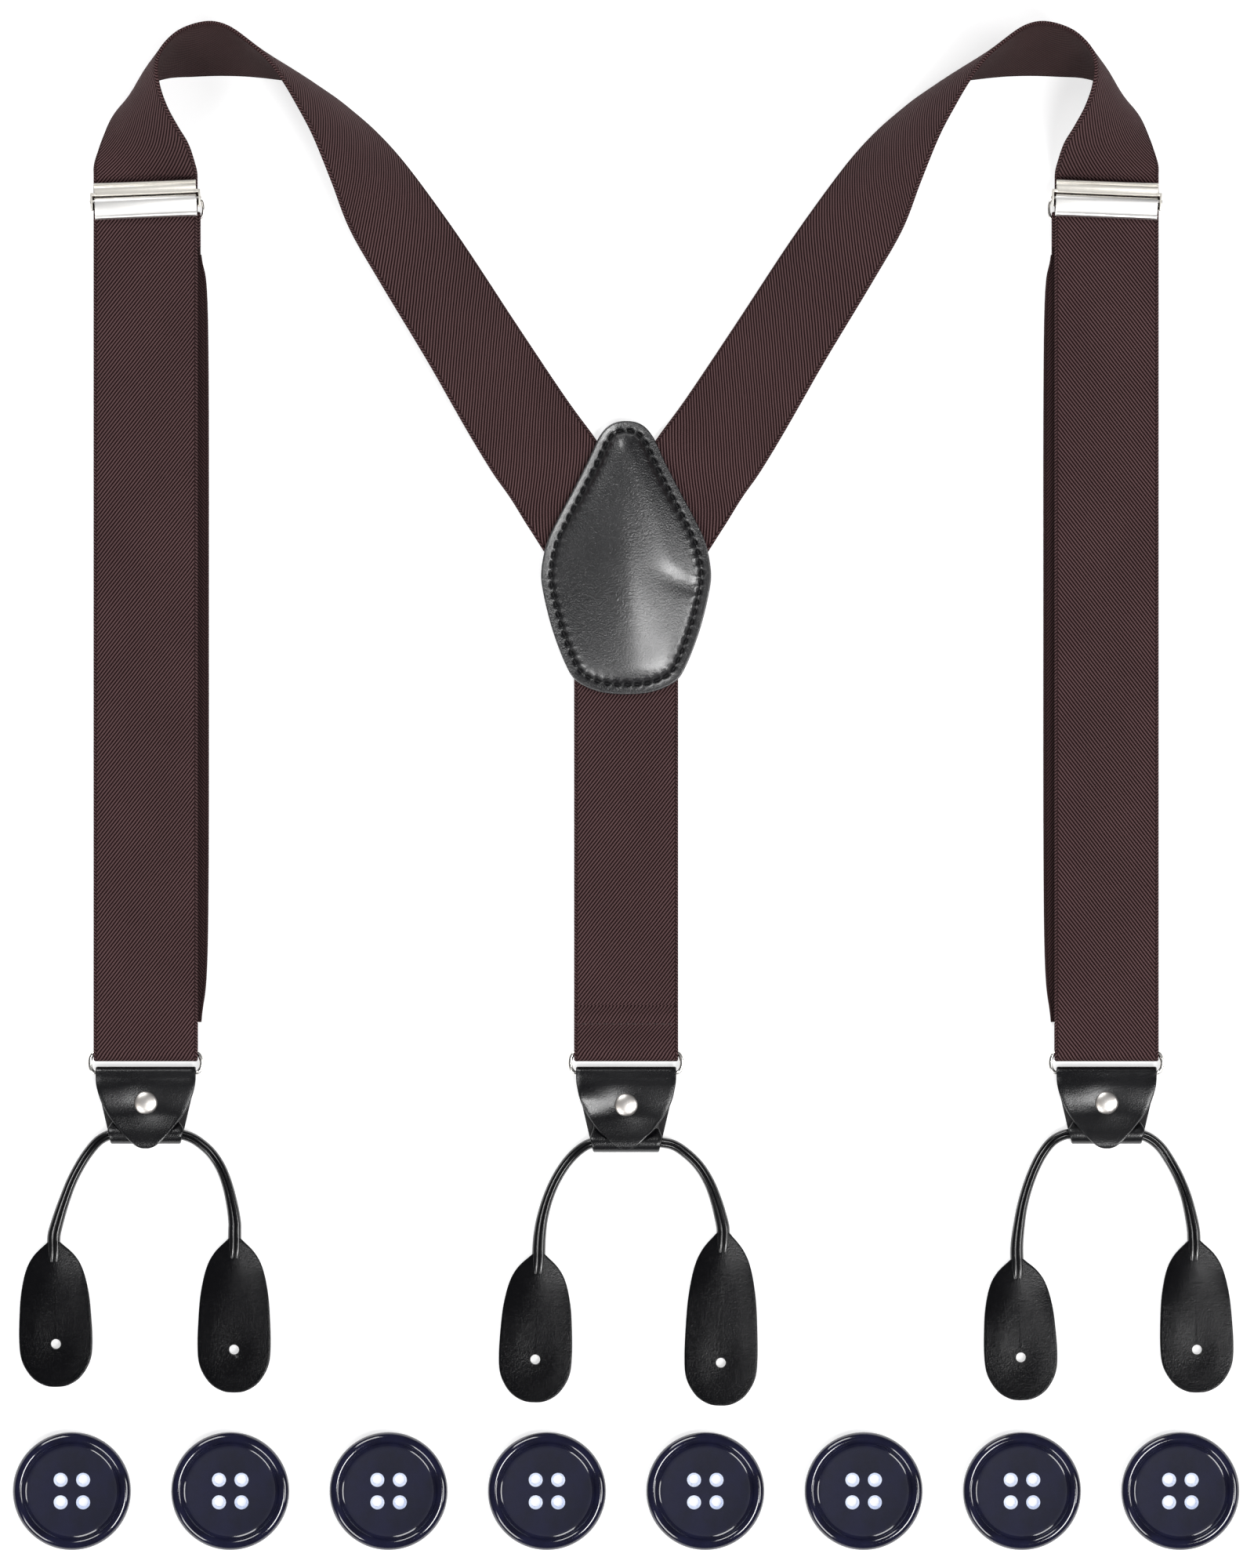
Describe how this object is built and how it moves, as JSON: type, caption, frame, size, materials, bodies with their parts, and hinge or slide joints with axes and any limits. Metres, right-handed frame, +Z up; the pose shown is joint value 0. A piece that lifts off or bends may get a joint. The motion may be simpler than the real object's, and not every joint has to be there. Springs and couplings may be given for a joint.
{
  "type": "suspenders",
  "caption": "Y-back suspenders with brown webbing, metal adjusters, a leather back patch and rolled leather button ends, laid flat above a row of trouser buttons.",
  "frame": {"origin": "centre of the bounding box's base, on the table the suspenders lie on", "axes": "+X to the right seen from the front, +Y from the button row to the shoulder loops, +Z up from the table"},
  "size_m": [0.4116, 0.512, 0.0353],
  "materials": {
    "webbing": "twill-woven elastic, matt with fine diagonal ribs",
    "leather": "smooth black, semi-gloss",
    "padding": "felt",
    "thread": "waxed thread",
    "nickel": "polished nickel",
    "button": "glossy rim, matt middle"
  },
  "bodies": {
    "webbing": {"shoulder_strap_left": "webbing", "return_strap_left": "webbing", "shoulder_strap_right": "webbing", "return_strap_right": "webbing", "back_strap": "webbing", "patch_backing": "leather", "patch_padding": "padding", "patch_front": "leather", "patch_seam_thread": "thread"},
    "adjuster_left": {"adjuster_frame_left": "nickel", "adjuster_pin_left": "nickel", "adjuster_link_left": "nickel", "return_hem_left": "webbing"},
    "lever_left": {"adjuster_lever_left": "nickel"},
    "adjuster_right": {"adjuster_frame_right": "nickel", "adjuster_pin_right": "nickel", "adjuster_link_right": "nickel", "return_hem_right": "webbing"},
    "lever_right": {"adjuster_lever_right": "nickel"},
    "ring_left": {"ring_left": "nickel"},
    "carrier_left": {"carrier_left": "leather", "rivet_cap_left": "nickel", "rivet_back_left": "nickel"},
    "loop_left": {"rolled_loop_left": "leather", "tab_left_1_leather": "leather", "tab_left_1_lining": "leather", "tab_left_2_leather": "leather", "tab_left_2_lining": "leather"},
    "ring_centre": {"ring_centre": "nickel"},
    "carrier_centre": {"carrier_centre": "leather", "rivet_cap_centre": "nickel", "rivet_back_centre": "nickel"},
    "loop_centre": {"rolled_loop_centre": "leather", "tab_centre_1_leather": "leather", "tab_centre_1_lining": "leather", "tab_centre_2_leather": "leather", "tab_centre_2_lining": "leather"},
    "ring_right": {"ring_right": "nickel"},
    "carrier_right": {"carrier_right": "leather", "rivet_cap_right": "nickel", "rivet_back_right": "nickel"},
    "loop_right": {"rolled_loop_right": "leather", "tab_right_1_leather": "leather", "tab_right_1_lining": "leather", "tab_right_2_leather": "leather", "tab_right_2_lining": "leather"},
    "button_1": {"button_1": "button"},
    "button_2": {"button_2": "button"},
    "button_3": {"button_3": "button"},
    "button_4": {"button_4": "button"},
    "button_5": {"button_5": "button"},
    "button_6": {"button_6": "button"},
    "button_7": {"button_7": "button"},
    "button_8": {"button_8": "button"}
  },
  "joints": [
    {"name": "adjuster_slide_left", "type": "slide", "parent": "webbing", "child": "adjuster_left", "axis": [0, -1, 0], "range_m": [0, 0.2], "deforming": ["return_strap_left"]},
    {"name": "lever_flip_left", "type": "hinge", "parent": "adjuster_left", "child": "lever_left", "pos_m": [-0.1612, 0.1969, 0.0074], "axis": [-0.9992, -0.0401, 0], "range_deg": [0, 80]},
    {"name": "adjuster_slide_right", "type": "slide", "parent": "webbing", "child": "adjuster_right", "axis": [0, -1, 0], "range_m": [0, 0.2], "deforming": ["return_strap_right"]},
    {"name": "lever_flip_right", "type": "hinge", "parent": "adjuster_right", "child": "lever_right", "pos_m": [0.1612, 0.1969, 0.0074], "axis": [-0.9992, 0.0401, 0], "range_deg": [0, 80]},
    {"name": "ring_swing_left", "type": "hinge", "parent": "webbing", "child": "ring_left", "pos_m": [-0.1612, -0.0892, 0.00285], "axis": [-1, 0, 0], "range_deg": [0, 60]},
    {"name": "carrier_swing_left", "type": "hinge", "parent": "ring_left", "child": "carrier_left", "pos_m": [-0.1612, -0.09586, 0.00285], "axis": [-1, 0, 0], "range_deg": [0, 60]},
    {"name": "loop_swing_left", "type": "hinge", "parent": "carrier_left", "child": "loop_left", "pos_m": [-0.1612, -0.1165, 0.00325], "axis": [-1, 0, 0], "range_deg": [0, 50]},
    {"name": "ring_swing_centre", "type": "hinge", "parent": "webbing", "child": "ring_centre", "pos_m": [0, -0.0892, 0.00285], "axis": [-1, 0, 0], "range_deg": [0, 60]},
    {"name": "carrier_swing_centre", "type": "hinge", "parent": "ring_centre", "child": "carrier_centre", "pos_m": [0, -0.09586, 0.00285], "axis": [-1, 0, 0], "range_deg": [0, 60]},
    {"name": "loop_swing_centre", "type": "hinge", "parent": "carrier_centre", "child": "loop_centre", "pos_m": [0, -0.1193, 0.00325], "axis": [-1, 0, 0], "range_deg": [0, 50]},
    {"name": "ring_swing_right", "type": "hinge", "parent": "webbing", "child": "ring_right", "pos_m": [0.1612, -0.0892, 0.00285], "axis": [-1, 0, 0], "range_deg": [0, 60]},
    {"name": "carrier_swing_right", "type": "hinge", "parent": "ring_right", "child": "carrier_right", "pos_m": [0.1612, -0.09586, 0.00285], "axis": [-1, 0, 0], "range_deg": [0, 60]},
    {"name": "loop_swing_right", "type": "hinge", "parent": "carrier_right", "child": "loop_right", "pos_m": [0.1612, -0.1165, 0.00325], "axis": [-1, 0, 0], "range_deg": [0, 50]},
    {"name": "trouser_button_1_lift", "type": "slide", "parent": "webbing", "child": "button_1", "axis": [0, 0, 1], "range_m": [0, 0.03]},
    {"name": "trouser_button_2_lift", "type": "slide", "parent": "webbing", "child": "button_2", "axis": [0, 0, 1], "range_m": [0, 0.03]},
    {"name": "trouser_button_3_lift", "type": "slide", "parent": "webbing", "child": "button_3", "axis": [0, 0, 1], "range_m": [0, 0.03]},
    {"name": "trouser_button_4_lift", "type": "slide", "parent": "webbing", "child": "button_4", "axis": [0, 0, 1], "range_m": [0, 0.03]},
    {"name": "trouser_button_5_lift", "type": "slide", "parent": "webbing", "child": "button_5", "axis": [0, 0, 1], "range_m": [0, 0.03]},
    {"name": "trouser_button_6_lift", "type": "slide", "parent": "webbing", "child": "button_6", "axis": [0, 0, 1], "range_m": [0, 0.03]},
    {"name": "trouser_button_7_lift", "type": "slide", "parent": "webbing", "child": "button_7", "axis": [0, 0, 1], "range_m": [0, 0.03]},
    {"name": "trouser_button_8_lift", "type": "slide", "parent": "webbing", "child": "button_8", "axis": [0, 0, 1], "range_m": [0, 0.03]}
  ]
}
